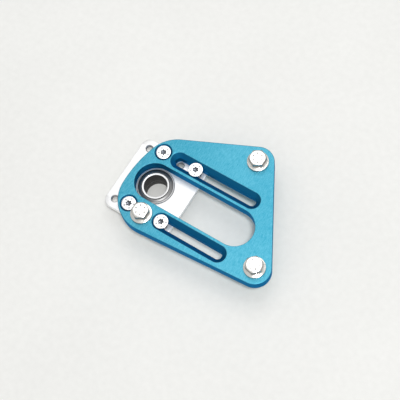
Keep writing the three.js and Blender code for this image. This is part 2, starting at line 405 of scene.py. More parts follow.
def zinc_plate(name, dull, bright):
    finish = Finish(name, "zinc_plated_steel", Metallic=0.95)
    patch = finish.noise(0.45, detail=3, roughness=0.6)
    fine = finish.noise(5.0, detail=2)
    finish.surface(
        # the near black is painted shade, in sockets, dimples, the flange's rim and the bolts' flats
        Base_Color=finish.shaded(finish.blend(patch, dull, bright), (0.06, 0.07, 0.09, 1)),
        Roughness=0.12 + patch * 0.18,
        Normal=finish.bump(fine * 0.5 + patch * 0.5, 0.3, 0.02),
    )
    return finish


def bearing_steel(name, slot, dark, light, rough):
    finish = Finish(name, slot, Metallic=1.0)
    rings = finish.turned_noise(2.5)
    clean = finish.blend(rings, (dark, dark, dark, 1), (light, light, light, 1))
    finish.surface(
        # the near black is painted shade, in grooves, bores and at the shields' rims; roughness also
        # rises there
        Base_Color=finish.shaded(clean, (0.03, 0.03, 0.032, 1)),
        Roughness=rough + rings * 0.1 + finish.painted_shade() * 0.3,
        Normal=finish.bump(rings, 0.15, 0.006),
    )
    return finish


BLUE = blue_anodised()
ALUMINIUM = bare_aluminium()
SCREW_ZINC = zinc_plate("clear_zinc", (0.78, 0.79, 0.80, 1), (0.90, 0.90, 0.90, 1))
BOLT_ZINC = zinc_plate("warm_zinc", (0.80, 0.79, 0.74, 1), (0.96, 0.95, 0.91, 1))
RING_STEEL = bearing_steel("ground_steel", "ground_bearing_steel", 0.84, 0.92, 0.4)
SHIELD_STEEL = bearing_steel("shield_steel", "pressed_steel", 0.16, 0.24, 0.34)
BALL_STEEL = bearing_steel("polished_steel", "bearing_balls", 0.6, 0.7, 0.04)
FINISHES = (BLUE, ALUMINIUM, SCREW_ZINC, BOLT_ZINC, RING_STEEL, SHIELD_STEEL, BALL_STEEL)
print("finishes:", [finish.slot for finish in FINISHES])

# %% [markdown]
# ## Solids from loops
#
# Nearly every piece here is machined, so it is a stack of closed outlines. `stack` joins
# loops that have the same number of points into a skin, and closes the ends. A turned
# part uses circles, a hexagon head uses a radius that changes with the angle, and a thread
# uses a radius that also shifts with the height. The plate has holes, so its two flat
# faces are filled between loops, and the edges round them stay sharp, because otherwise
# the shading of the bevel would smear over the flat.

# %% Mesh helpers
SIDES = 120
ANGLES = np.arange(SIDES) * 2 * math.pi / SIDES
SHARP = math.radians(32)


def ring(radius, height, centre=(0, 0)):
    """One loop: radius is a number, or one for each angle, and so is height."""
    radius = np.broadcast_to(radius, ANGLES.shape)
    height = np.broadcast_to(height, ANGLES.shape)
    x = centre[0] + radius * np.cos(ANGLES)
    y = centre[1] + radius * np.sin(ANGLES)
    return np.column_stack([x, y, height])


def eased(size, steps=4):
    """(inset, drop) along a rounded edge, from the flat face to the wall."""
    turns = np.linspace(0, math.pi / 2, steps + 1)
    return [(size * (1 - math.sin(t)), size * (1 - math.cos(t))) for t in turns]


def finished(name, bm, finish, body, *replaced):
    """Turns a bmesh in millimetres into a piece that rides on a body."""
    bmesh.ops.recalc_face_normals(bm, faces=bm.faces)
    mesh = bpy.data.meshes.new(name)
    bm.to_mesh(mesh)
    bm.free()
    mesh.transform(Matrix.Translation(ORIGIN) @ Matrix.Scale(MM, 4))
    return as_piece(name, mesh, finish, body, *replaced)


def as_piece(name, mesh, finish, body, *replaced):
    """Gives a mesh its finish, its crisp shading, its body, and the nodes it stands for."""
    mesh.materials.clear()
    mesh.materials.append(finish.material)
    mesh.polygons.foreach_set("use_smooth", [True] * len(mesh.polygons))
    mesh.set_sharp_from_angle(angle=SHARP)
    piece = bpy.data.objects.new(name, mesh)
    bpy.context.scene.collection.objects.link(piece)
    weighting = piece.modifiers.new("large_faces_stay_flat", "WEIGHTED_NORMAL")
    weighting.keep_sharp = True
    weighting.weight = 100
    evaluated = piece.evaluated_get(bpy.context.evaluated_depsgraph_get())
    piece.data = bpy.data.meshes.new_from_object(evaluated)
    piece.modifiers.clear()
    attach(piece, body)
    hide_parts(*replaced)
    print(f"{name}: {len(piece.data.polygons)} faces on {body}")
    return piece


def shade(bm, rule):
    """Paints shade into walls, sockets and grooves as the shade attribute, which darkens their
    colour: rule gives 0 to 1 from a point in millimetres.
    """
    layer = bm.verts.layers.float.new("shade")
    for vert in bm.verts:
        vert[layer] = rule(*vert.co)
    return bm


def skin(bm, loops, hollow=False):
    """Rows of vertices along the loops, with walls between them; hollow joins the ends."""
    rows = [[bm.verts.new(p) for p in loop] for loop in loops]
    for low, high in zip(rows, rows[1:] + rows[:1] * hollow):
        for i in range(len(low)):
            j = (i + 1) % len(low)
            bm.faces.new((low[i], low[j], high[j], high[i]))
    return rows


def stack(loops, hollow=False):
    """A solid made of loops. hollow joins the last loop to the first."""
    bm = bmesh.new()
    rows = skin(bm, loops, hollow)
    if not hollow:
        for row, loop in ((rows[0], loops[0]), (rows[-1], loops[-1])):
            middle = bm.verts.new(np.mean(loop, axis=0))
            for i in range(len(row)):
                bm.faces.new((row[i], row[(i + 1) % len(row)], middle))
    return bm


def turned(profile, hollow=False):
    """A turned solid from (radius, height) points."""
    return stack([ring(radius, height) for radius, height in profile], hollow)


# %% [markdown]
# ## The slotted plate
#
# The outline is a belt laid round four circles: one at each wide-end bolt and two at the
# nose, with a very shallow arc closing the nose. A belt has a neat property. Take the
# same amount off every radius and it shrinks evenly, so the rounded edge is the same
# outline at a few smaller sizes. The slots and the fixed screw places are countersunk at 90
# degrees, so at every depth they are again the same shape at another size.

# %% Plate sizes
PLATE_BOTTOM = (PLATE_LOW.z - ORIGIN.z) / MM
LUG_R = 10.4
NOSE_R = 23
NOSE_ARC_R = 84
LOWER_NOSE = np.array([6.0, -9.0])
UPPER_NOSE = np.array([8.5, 12.0])
WINDOW_HALF = 12.5
FAR_END_X = 59
UPPER_SLOT_X = 6
SCREW_HOLE_R = 2.8
SINK = 2.8
BOLT_HOLE_R = 3.2
PLATE_EDGE = 0.45
HOLE_EDGE = 0.25
ARC_STEP = math.radians(2)
WALL_SHADE_FROM, WALL_SHADE_FADE = 0.02, 0.25  # depths at which the painted shade on a wall sets in
UNDERSIDE_EDGE = 0.1


# %% Plate outlines
def arc(centre, radius, start, end):
    sweep = (end - start) % (2 * math.pi) or 2 * math.pi
    turn = start + np.linspace(0, sweep, max(2, round(sweep / ARC_STEP)) + 1)
    return np.column_stack([centre[0] + radius * np.cos(turn), centre[1] + radius * np.sin(turn)])


def tangent_angle(first, first_r, second, second_r):
    """Direction of the normal of the straight edge that touches both circles."""
    away = np.subtract(second, first)
    lean = math.acos((first_r - second_r) / np.hypot(*away))
    return math.atan2(away[1], away[0]) - lean


def belt(inset, height):
    corner, apex = BOLTS["corner"], BOLTS["apex"]
    bottom = tangent_angle(LOWER_NOSE, NOSE_R, corner, LUG_R)
    right = tangent_angle(corner, LUG_R, apex, LUG_R)
    top = tangent_angle(apex, LUG_R, UPPER_NOSE, NOSE_R)
    gap = UPPER_NOSE - LOWER_NOSE
    half = np.hypot(*gap) / 2
    reach = math.sqrt((NOSE_ARC_R - NOSE_R) ** 2 - half**2)
    centre = (LOWER_NOSE + UPPER_NOSE) / 2 + np.array([gap[1], -gap[0]]) / (2 * half) * reach
    upper = math.atan2(*(UPPER_NOSE - centre)[::-1])
    lower = math.atan2(*(LOWER_NOSE - centre)[::-1])
    points = np.vstack(
        [
            arc(corner, LUG_R - inset, bottom, right),
            arc(apex, LUG_R - inset, right, top),
            arc(UPPER_NOSE, NOSE_R - inset, top, upper),
            arc(centre, NOSE_ARC_R - inset, upper, lower)[1:-1],
            arc(LOWER_NOSE, NOSE_R - inset, lower, bottom),
        ]
    )
    return np.column_stack([points, np.full(len(points), height)])


def obround(x0, x1, y, radius, height):
    """A slot outline; with x0 equal to x1 it is a circle."""
    quarter = math.pi / 2
    points = np.vstack(
        [arc((x1, y), radius, -quarter, quarter), arc((x0, y), radius, quarter, 3 * quarter)]
    )
    if x0 == x1:
        points = arc((x0, y), radius, 0, 2 * math.pi)[:-1]
    return np.column_stack([points, np.full(len(points), height)])


def through_hole(outline, sink):
    """Loops of a hole from the top face down. outline(grow, height) gives one loop."""
    loops = [outline(sink + grow, -drop) for grow, drop in eased(HOLE_EDGE)]
    if sink:
        loops.append(outline(0, -sink))
    loops += [outline(grow, PLATE_BOTTOM + drop) for grow, drop in reversed(eased(HOLE_EDGE))]
    return loops


# %% Cut and fill
def walled(bm, loops):
    """Walls of one hole or rim; returns the vertices of its first and last loop."""
    rows = skin(bm, loops)
    return rows[0], rows[-1]


def fill(bm, rows):
    """A flat face between an outer loop and its holes, all convex, with sharp borders."""
    points = [vert for row in rows for vert in row]
    owner = [number for number, row in enumerate(rows) for _ in row]
    edges = []
    for row in rows:
        first = len(edges)
        edges += [(first + i, first + (i + 1) % len(row)) for i in range(len(row))]
    flat = [vert.co.xy for vert in points]
    _, _, faces, origins, _, _ = delaunay_2d_cdt(flat, edges, [], 1, 1e-6)
    for face in faces:
        corners = [origins[i][0] for i in face]
        owners = {owner[i] for i in corners}
        if owners == {0} or len(owners) > 1:
            bm.faces.new([points[i] for i in corners])
    for i, j in edges:
        bm.edges.get((points[i], points[j])).smooth = False


def make_plate():
    bm = bmesh.new()
    rim = [belt(inset, -drop) for inset, drop in eased(PLATE_EDGE)]
    rim += [belt(inset, PLATE_BOTTOM + drop) for inset, drop in reversed(eased(PLATE_EDGE))]
    walls = [walled(bm, rim)]

    def cut(x0, x1, y, radius, sink=0.0):
        def outline(grow, height):
            return obround(x0, x1, y, radius + grow, height)

        walls.append(walled(bm, through_hole(outline, sink)))

    cut(0, FAR_END_X, 0, WINDOW_HALF)
    cut(UPPER_SLOT_X, FAR_END_X, SCREW_Y, SCREW_HOLE_R, SINK)
    cut(CLAMP_X, FAR_END_X, -SCREW_Y, SCREW_HOLE_R, SINK)
    for y in (SCREW_Y, -SCREW_Y):
        cut(INDEX_X, INDEX_X, y, SCREW_HOLE_R, SINK)
    for x, y in BOLTS.values():
        cut(x, x, y, BOLT_HOLE_R)
    fill(bm, [top for top, _ in walls])
    fill(bm, [bottom for _, bottom in walls])

    # Painted shade: a wall darkens from just below the top face, fully a quarter millimetre down,
    # and the underside stays clean.
    def on_wall(x, y, z):
        if z <= PLATE_BOTTOM + UNDERSIDE_EDGE:
            return 0.0
        return float(np.clip((-z - WALL_SHADE_FROM) / WALL_SHADE_FADE, 0, 1))

    finished("slotted_plate_machined", shade(bm, on_wall), BLUE, "plate", "slotted_plate")


make_plate()

# %% [markdown]
# ## The bearing carriage
#
# A nearly square plate with a round hub under it, milled from one block. The upper bearing stands
# a little proud of the plate, and the lower one is flush with the hub's end; a shoulder
# between them keeps both in place. Screw holes are drilled at a regular pitch, so the pivot
# can be set in steps as well as slid. Their threads are real rings of metal here, because
# some of them are open to view.

# %% Carriage
CARRIAGE_TOP = top_and_bottom("bearing_carriage")[0]
CARRIAGE_THICK = 3
CARRIAGE_CORNER = 5.5
CARRIAGE_EDGE = 0.3
HUB_R = 15
HUB_FILLET = 0.6
SEAT_R = 12.02
SEAT_FOOT = 0.3  # bevel where the lower bearing goes in
SEAT_MOUTH = 0.25  # bevel where the upper bearing goes in
SHOULDER_R = 10.9
SHOULDER_EDGE = 0.2
TAPPED_X = (-18, -6, 6, 18)
TAP_MINOR_R = 2.1
ENGAGED_R = 2.58
TAP_PITCH = 0.8
TAP_GROOVE = ((0.15, 0.0), (0.5, 0.3), (0.85, 0.0))  # (share of a pitch down, depth)
LEAD_IN, LEAD_IN_DEPTH = 0.55, 0.5  # the countersink at each end of a tapped hole
# painted shade in the tapped holes: how far it keeps from each face, and how far round a hole it
# reaches
HOLE_SHADE_EDGE = 0.2
HOLE_SHADE_REACH = 0.4
UPPER_SEAT = top_and_bottom("upper_bearing_outer_ring")[1]
LOWER_SEAT = top_and_bottom("lower_bearing_outer_ring")[0]


def rounded_square(half_x, half_y, corner, height):
    x, y = half_x - corner, half_y - corner
    quarter = math.pi / 2
    centres = [(x, -y), (x, y), (-x, y), (-x, -y)]
    points = [arc(c, corner, quarter * (i - 1), quarter * i) for i, c in enumerate(centres)]
    points = np.vstack(points)
    return np.column_stack([points, np.full(len(points), height)])


def tapped_hole(x, y, top, bottom):
    """A drilled and tapped hole; thread crests are narrow rings between V grooves."""
    minor = ENGAGED_R if x == CLAMP_X else TAP_MINOR_R
    height = top - LEAD_IN_DEPTH
    lowest = bottom + LEAD_IN_DEPTH
    loops = [ring(minor + LEAD_IN, top, (x, y)), ring(minor, height, (x, y))]
    while minor < ENGAGED_R and height - TAP_PITCH > lowest:
        for share, deep in TAP_GROOVE:
            loops.append(ring(minor + deep, height - share * TAP_PITCH, (x, y)))
        height -= TAP_PITCH
    loops += [ring(minor, lowest, (x, y)), ring(minor + LEAD_IN, bottom, (x, y))]
    return loops


def make_carriage():
    low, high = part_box("bearing_carriage")
    half_x = (high.x - low.x) / 2 / MM
    half_y = (high.y - low.y) / 2 / MM
    under = CARRIAGE_TOP - CARRIAGE_THICK
    bm = bmesh.new()

    def rim(inset, height):
        return rounded_square(half_x - inset, half_y - inset, CARRIAGE_CORNER - inset, height)

    edges = [rim(inset, CARRIAGE_TOP - drop) for inset, drop in eased(CARRIAGE_EDGE)]
    edges += [rim(inset, under + drop) for inset, drop in reversed(eased(CARRIAGE_EDGE))]
    outer_top, outer_under = walled(bm, edges)
    holes = [
        walled(bm, tapped_hole(x, y, CARRIAGE_TOP, under))
        for x in TAPPED_X
        for y in (SCREW_Y, -SCREW_Y)
    ]
    fillet = [ring(HUB_R + inset, under - drop) for inset, drop in eased(HUB_FILLET)]
    foot = [ring(HUB_R - inset, BASE + drop) for inset, drop in reversed(eased(CARRIAGE_EDGE))]
    bore = [
        (SEAT_R + SEAT_FOOT, BASE),
        (SEAT_R, BASE + SEAT_FOOT),
        (SEAT_R, LOWER_SEAT),
        (SHOULDER_R + SHOULDER_EDGE, LOWER_SEAT),
        (SHOULDER_R, LOWER_SEAT + SHOULDER_EDGE),
        (SHOULDER_R, UPPER_SEAT - SHOULDER_EDGE),
        (SHOULDER_R + SHOULDER_EDGE, UPPER_SEAT),
        (SEAT_R, UPPER_SEAT),
        (SEAT_R, CARRIAGE_TOP - SEAT_MOUTH),
        (SEAT_R + SEAT_MOUTH, CARRIAGE_TOP),
    ]
    hub_top, bore_top = walled(bm, fillet + foot + [ring(r, z) for r, z in bore])
    fill(bm, [outer_top, bore_top] + [top for top, _ in holes])
    fill(bm, [outer_under, hub_top] + [bottom for _, bottom in holes])

    # Painted shade down the walls of the tapped holes, clear of their mouths.
    def in_hole(x, y, z):
        away = min(math.dist((x, abs(y)), (hole, SCREW_Y)) for hole in TAPPED_X)
        inside_edge = under + HOLE_SHADE_EDGE < z < CARRIAGE_TOP - HOLE_SHADE_EDGE
        return float(away < ENGAGED_R + HOLE_SHADE_REACH and inside_edge)

    shade(bm, in_hole)
    finished("bearing_carriage_milled", bm, ALUMINIUM, "carriage", "bearing_carriage")


make_carriage()

# %% [markdown]
# ## Threads
#
# A thread is a groove that climbs by one pitch each turn. On a stack of loops that is one
# line of arithmetic: the radius depends on the height minus the share of a turn. The groove
# fades out at the tip and under the head, as it does when the die starts and stops.


# %% Threaded shank
LOOPS_PER_PITCH = 10
GROOVE_DEPTH = 0.54  # in pitches
GROOVE_WALL = 1.25  # over 1, so that a narrow crest stays between two grooves
GROOVE_FLOOR = 0.12
TIP_CUT = 0.1  # how far the tip's chamfer goes past the groove
TIP_BEVEL = (0.25, 0.12)  # (in, up) at the end face
TIP_LEAD = 0.4  # how much longer than deep the chamfer is
THREAD_FROM, THREAD_TO, THREAD_LOSS = 0.25, 0.15, 0.3
NECK_GAP = 0.05


def threaded(major_r, pitch, tip, neck, runout):
    """Loops of a threaded shank from its tip, at height tip, up to its neck."""
    depth = GROOVE_DEPTH * pitch
    chamfer = depth + TIP_CUT
    bevel_in, bevel_up = TIP_BEVEL
    loops = [ring(major_r - chamfer - bevel_in, tip), ring(major_r - chamfer, tip + bevel_up)]
    count = int((neck - tip - THREAD_LOSS) / pitch * LOOPS_PER_PITCH)
    for height in np.linspace(tip + THREAD_FROM, neck - THREAD_TO, count):
        phase = (height / pitch - ANGLES / (2 * math.pi)) % 1.0
        wall = np.clip(np.abs(phase - 0.5) * 2 * GROOVE_WALL - GROOVE_FLOOR, 0, 1)
        start = min(1.0, (height - tip) / (chamfer + TIP_LEAD))
        fade = min(1.0, max(0.0, (neck - runout - height) / pitch + 1))
        crest = major_r - (1 - start) * chamfer
        loops.append(ring(np.minimum(crest, major_r - depth * (1 - wall) * fade), height))
    loops.append(ring(major_r if runout else major_r - depth, neck - NECK_GAP))
    return loops


# %% [markdown]
# ## Countersunk screws
#
# The head is a 90 degree cone with a thin upright rim and a six-lobe socket. The socket's
# outline is a circle with six waves, so the same stack of loops turns round at the top
# face and goes down into it. One screw is modelled, and Geometry Nodes sets it out on the
# points where screws go.

# %% Dimples on a head
DIMPLE_ROUND = 6  # power of the wave round the head; more makes the dimples shorter
DIMPLE_ACROSS = ((0.55, 0.0), (0.35, 0.4), (0.12, 1.0), (-0.12, 1.0), (-0.35, 0.4), (-0.55, 0.0))


def dimpled(count, radius, depth, top):
    """Loops across a flat head with a row of small round dimples at a radius."""
    around = np.clip(np.cos(count * ANGLES), 0, 1) ** DIMPLE_ROUND
    return [ring(radius + away, top - depth * share * around) for away, share in DIMPLE_ACROSS]


# %% One countersunk screw
SCREW_HEAD_R = 4.65
SCREW_MAJOR_R = 2.45
SCREW_PITCH = 0.8
SCREW_RUNOUT = 0.4
SCREW_EDGE = 0.16
CONE_TOP = 0.35  # where the cone would meet the rim, below the head's flat
RIM_FOOT = ((0.06, 0.38), (0.0, 0.3))  # (inset, drop) of the loops that round that corner
SCREW_DIMPLES = {"count": 5, "radius": 3.2, "depth": 0.12}
LOBES = 6
LOBE_R, LOBE_WAVE, LOBE_DEPTH = 1.65, 0.28, 1.5
SOCKET_EDGE = 0.14
SOCKET_TAPER = 0.99
SOCKET_FLOOR = (0.9, 0.25)  # (radius, how much deeper) of the socket's middle
# painted shade in a socket and in the dimples
SOCKET_SHADE, DIMPLE_SHADE = 0.93, 0.6
DIMPLE_ZONE = (2.5, 4)  # radii
TIP_CLEAR = 0.5  # a socket's painted shade stays this far above the tip
FACE_BAND = 0.2  # a head's dimples are in this much of it, below its flat


def countersunk_screw(top, tip):
    lobes = LOBE_R + LOBE_WAVE * np.cos(LOBES * ANGLES)
    cone_low = top - CONE_TOP - (SCREW_HEAD_R - SCREW_MAJOR_R)
    edge = [*RIM_FOOT, *reversed(eased(SCREW_EDGE))]
    floor_r, deeper = SOCKET_FLOOR
    loops = threaded(SCREW_MAJOR_R, SCREW_PITCH, tip, cone_low, SCREW_RUNOUT)
    loops.append(ring(SCREW_MAJOR_R, cone_low))
    loops += [ring(SCREW_HEAD_R - inset, top - drop) for inset, drop in edge]
    loops += dimpled(top=top, **SCREW_DIMPLES)
    loops += [ring(lobes + SOCKET_EDGE, top), ring(lobes, top - SOCKET_EDGE)]
    loops.append(ring(lobes * SOCKET_TAPER, top - LOBE_DEPTH))
    loops.append(ring(floor_r, top - LOBE_DEPTH - deeper))

    # Painted shade down the socket and in the dimples round it.
    def in_socket(x, y, z):
        radius = math.hypot(x, y)
        if tip + TIP_CLEAR < z < top - FACE_BAND and radius < LOBE_R + 2 * LOBE_WAVE:
            return SOCKET_SHADE
        near, far = DIMPLE_ZONE
        dimple = near < radius < far and top - FACE_BAND < z < top - 0.03
        return DIMPLE_SHADE if dimple else 0.0

    return shade(stack(loops), in_socket)


# %% [markdown]
# ## Setting pieces out
#
# The same screw goes in several places. This Geometry Nodes tree takes a cloud of points
# and a piece, puts a copy at each point with its own turn, makes the copies real, and
# gives them their finish. The result is turned into a plain mesh, one for each set of
# copies, so that nothing depends on a modifier afterwards.


# %% Geometry Nodes: copies on points
class Tree:
    """A Geometry Nodes tree with named inputs."""

    def __init__(self, name, inputs):
        self.group = bpy.data.node_groups.new(name, "GeometryNodeTree")
        face = self.group.interface
        face.new_socket("Geometry", in_out="INPUT", socket_type="NodeSocketGeometry")
        self.ids = {
            label: face.new_socket(label, in_out="INPUT", socket_type=kind).identifier
            for label, kind in inputs.items()
        }
        face.new_socket("Geometry", in_out="OUTPUT", socket_type="NodeSocketGeometry")
        self.start = self.group.nodes.new("NodeGroupInput").outputs
        self.end = self.group.nodes.new("NodeGroupOutput").inputs

    def node(self, kind, settings=None, sockets=None, output=0):
        made = self.group.nodes.new(kind)
        for name, value in (settings or {}).items():
            setattr(made, name, value)
        for key, value in (sockets or {}).items():
            if isinstance(value, bpy.types.NodeSocket):
                self.group.links.new(value, made.inputs[key])
            else:
                made.inputs[key].default_value = value
        return made.outputs[output]

    def close(self, geometry, material):
        """Realize Instances, Set Material and the way out."""
        real = self.node("GeometryNodeRealizeInstances", {}, {"Geometry": geometry})
        done = self.node("GeometryNodeSetMaterial", {}, {"Geometry": real, "Material": material})
        self.group.links.new(done, self.end[0])

    def run(self, points, values):
        """The plain mesh that the tree makes from a cloud of points."""
        cloud = bpy.data.meshes.new("points")
        cloud.from_pydata([tuple(p) for p in points], [], [])
        holder = bpy.data.objects.new("points", cloud)
        bpy.context.scene.collection.objects.link(holder)
        modifier = holder.modifiers.new("tree", "NODES")
        modifier.node_group = self.group
        for label, value in values.items():
            modifier[self.ids[label]] = value
        evaluated = holder.evaluated_get(bpy.context.evaluated_depsgraph_get())
        mesh = bpy.data.meshes.new_from_object(evaluated)
        bpy.data.objects.remove(holder)
        return mesh


def copies_tree(material):
    tree = Tree(
        "set_out_copies", {"Piece": "NodeSocketObject", "Turn": "NodeSocketFloat"}
    )
    piece = tree.node("GeometryNodeObjectInfo", {}, {"Object": tree.start["Piece"]}, "Geometry")
    index = tree.node("GeometryNodeInputIndex")
    turn = tree.node(
        "ShaderNodeMath", {"operation": "MULTIPLY"}, {0: index, 1: tree.start["Turn"]}
    )
    spin = tree.node("ShaderNodeCombineXYZ", {}, {"Z": turn})
    copies = tree.node(
        "GeometryNodeInstanceOnPoints",
        {},
        {"Points": tree.start["Geometry"], "Instance": piece, "Rotation": spin},
    )
    tree.close(copies, material)
    return tree


def set_out(name, bm, spots, turn, finish, body, *replaced):
    """Copies of one piece, modelled on the pivot axis, at (x, y) spots in millimetres."""
    bmesh.ops.recalc_face_normals(bm, faces=bm.faces)
    mesh = bpy.data.meshes.new("one_" + name)
    bm.to_mesh(mesh)
    bm.free()
    mesh.transform(Matrix.Scale(MM, 4))
    one = bpy.data.objects.new("one_" + name, mesh)
    bpy.context.scene.collection.objects.link(one)
    tree = copies_tree(finish.material)
    made = tree.run(put([(x, y, 0) for x, y in spots]), {"Piece": one, "Turn": turn})
    bpy.data.objects.remove(one)
    return as_piece(name, made, finish, body, *replaced)


# %% Screws in place
SCREW_TURN = math.radians(17)  # from one screw's socket to the next one's
index_top, index_tip = top_and_bottom("index_screw_upper")
clamp_top, clamp_tip = top_and_bottom("clamp_screw_upper")
for kind, body, x, screw in (
    ("index", "plate", INDEX_X, countersunk_screw(index_top, index_tip)),
    ("clamp", "carriage", CLAMP_X, countersunk_screw(clamp_top, clamp_tip)),
):
    nodes = [f"{kind}_screw_upper", f"{kind}_screw_lower"]
    places = [(x, SCREW_Y), (x, -SCREW_Y)]
    set_out(f"{kind}_screws", screw, places, SCREW_TURN, SCREW_ZINC, body, *nodes)

# %% [markdown]
# ## Flange bolts
#
# A hexagon head is where a hexagonal bar meets a turned chamfer: at each height and
# angle the surface is at the smaller of the two radii. The flange is the larger of its
# own cone and that. Writing the head as a radius for each height and angle gives
# the curved edges on the flats for nothing, and a soft minimum rounds them.

# %% One flange bolt
BOLT_R = 2.95
BOLT_PITCH = 1.0
BOLT_NECK = -0.35  # the shank's thread ends just inside the plate
LONG_RUNOUT = 0.8
FLANGE_R = 6.85
FLANGE_RIM = 1.3
FLANGE_UNDER = [(BOLT_R + 0.1, 0.0), (6.2, 0.0), (FLANGE_R - 0.25, 0.03)]  # (radius, height)
FLANGE_FOOT_EDGE, FLANGE_TOP_EDGE = 0.3, 0.15
FLANGE_SLOPE = 5.0  # radius lost for each millimetre of height
HEX_FLAT_R = 5.0
HEX_CORNER_R = 5.72
CHAMFER_TOP_R, CHAMFER_SLOPE = 4.75, 2.4
HEX_BLEND, FLANGE_BLEND = 0.25, 0.3  # how widely two surfaces of a head are rounded together
HEAD_TOP = top_and_bottom("flange_bolt_apex")[0]
HEAD_HEIGHTS = np.linspace(FLANGE_RIM + 0.02, HEAD_TOP - 0.08, 44)
TOP_EDGE = 0.12
TOP_FLAT_R = 3.7
BOLT_DIMPLES = {"count": 6, "radius": 3.05, "depth": 0.16}
# painted shade on a bolt: on the flange's rim, in the dimples, and on the flats by height
RIM_SHADE, DISH_SHADE = 0.8, 0.65
FLATS_SHADE = {2.6: 0.0, 4.4: 0.85, 6.2: 0.85, 6.4: 0.0}  # height: painted shade


def hexagon(flat_r, corner_r):
    """Radius of a hexagon with blunted corners, for each angle."""
    sixth = math.pi / 3
    local = (ANGLES + sixth / 2) % sixth - sixth / 2
    return np.minimum(flat_r / np.cos(local), corner_r)


def soft_min(first, second, blend):
    gap = np.clip(0.5 + 0.5 * (second - first) / blend, 0, 1)
    return second * (1 - gap) + first * gap - blend * gap * (1 - gap)


def bolt_head():
    """Loops of the head from the underside of the flange to the middle of the dish."""
    hexed = hexagon(HEX_FLAT_R, HEX_CORNER_R)
    foot = eased(FLANGE_FOOT_EDGE)[1:]
    rim_top = reversed(eased(FLANGE_TOP_EDGE))
    loops = [ring(radius, height) for radius, height in FLANGE_UNDER]
    loops += [ring(FLANGE_R - inset, drop) for inset, drop in foot]
    loops += [ring(FLANGE_R - inset, FLANGE_RIM - drop) for inset, drop in rim_top]
    for height in HEAD_HEIGHTS:
        cone = FLANGE_R - FLANGE_TOP_EDGE - (height - FLANGE_RIM) * FLANGE_SLOPE
        chamfer = CHAMFER_TOP_R + (HEAD_TOP - height) * CHAMFER_SLOPE
        head = soft_min(hexed, chamfer, HEX_BLEND)
        loops.append(ring(-soft_min(-head, -cone, FLANGE_BLEND), height))
    top_edge = soft_min(hexed, CHAMFER_TOP_R, HEX_BLEND) - TOP_EDGE
    loops += [ring(top_edge, HEAD_TOP), ring(TOP_FLAT_R, HEAD_TOP)]
    return loops + dimpled(top=HEAD_TOP, **BOLT_DIMPLES)


def flange_bolt(tip):
    runout = 0.0 if tip > PLATE_BOTTOM else LONG_RUNOUT
    shank = threaded(BOLT_R, BOLT_PITCH, tip, BOLT_NECK, runout)

    def on_sides(x, y, z):
        """Painted shade on the flange's rim, on the flats under the chamfer, and in the dimples on
        the top.
        """
        if BOLT_NECK < z < FLANGE_RIM - 0.1:
            return RIM_SHADE
        if z > HEAD_TOP - FACE_BAND:
            in_dimple = HEAD_TOP - z > 0.04 and math.hypot(x, y) < TOP_FLAT_R - 0.1
            return DISH_SHADE * float(in_dimple)
        return float(np.interp(z, list(FLATS_SHADE), list(FLATS_SHADE.values())))

    return shade(stack(shank + [ring(BOLT_R, -0.02)] + bolt_head()), on_sides)


# %% Bolts in place
BOLT_TURN = 0.3  # radians from one bolt's hexagon to the next one's
long_tip = top_and_bottom("flange_bolt_apex")[1]
short_tip = top_and_bottom("flange_bolt_nose")[1]
wide_end = ["flange_bolt_apex", "flange_bolt_corner"]
wide_spots = [BOLTS["apex"], BOLTS["corner"]]
long_bolt, short_bolt = flange_bolt(long_tip), flange_bolt(short_tip)
set_out("wide_end_bolts", long_bolt, wide_spots, BOLT_TURN, BOLT_ZINC, "plate", *wide_end)
set_out("nose_bolt", short_bolt, [BOLTS["nose"]], 0, BOLT_ZINC, "plate", "flange_bolt_nose")

# %% [markdown]
# ## Bearings
#
# Each bearing has two ground rings with a round raceway, a row of balls in a pressed cage,
# and a pressed shield in each face. The rings and shields are turned profiles. The balls
# come from a Geometry Nodes tree that takes their number, their size and the radius of
# their row. The cage is two wavy ribbons that meet between the balls.

# %% Ring and shield profiles
BORE_R = 7.5
INNER_LAND_R = 8.82
OUTER_LAND_R = 10.85
CRIMP_R = 11.15
BEARING_R = 12.0
PITCH_R = 9.82
BALL_R = 1.19
RACE_R = 1.25
BALL_COUNT = 14
RACE_POINTS = 13
OUTER_EDGE = 0.35
CRIMP_DEPTH, CRIMP_EDGE = 0.95, 0.15  # the step that the shield is pressed into
LAND_EDGE = 0.15
BORE_EDGE_LOW, BORE_EDGE_HIGH = 0.12, 0.2
# painted shade: all over an outer ring's faces, and down a bore
FACE_SHADE, BORE_SHADE = 0.4, 0.87
# (radius, depth under the bearing's face) along the two sides of a shield
SHIELD_OUTSIDE = [(11.12, 0.85), (10.95, 0.66), (10.7, 0.62), (10.5, 0.58), (9.9, 0.36)]
SHIELD_OUTSIDE += [(9.3, 0.17), (9.15, 0.18), (9.02, 0.3)]
SHIELD_INSIDE = [(9.05, 0.56), (9.3, 0.42), (9.9, 0.62), (10.4, 0.82), (10.85, 0.88)]
SHIELD_OPEN = (9.05, 10.9)  # radii between which a shield carries no painted shade


def raceway(side, centre_height, land_r):
    """Raceway points from low to high; side is 1 in the outer ring and -1 in the inner."""
    reach = math.acos((land_r - PITCH_R) * side / RACE_R)
    return [
        (PITCH_R + side * RACE_R * math.cos(turn), centre_height + RACE_R * math.sin(turn))
        for turn in np.linspace(-reach, reach, RACE_POINTS)
    ]


def corner(radius, height, out, up, size):
    """Points of one rounded corner, in the order that goes up the outside of a profile."""
    points = [(radius - out * inset, height - up * drop) for inset, drop in eased(size)]
    return points[::-1] if out * up > 0 else points


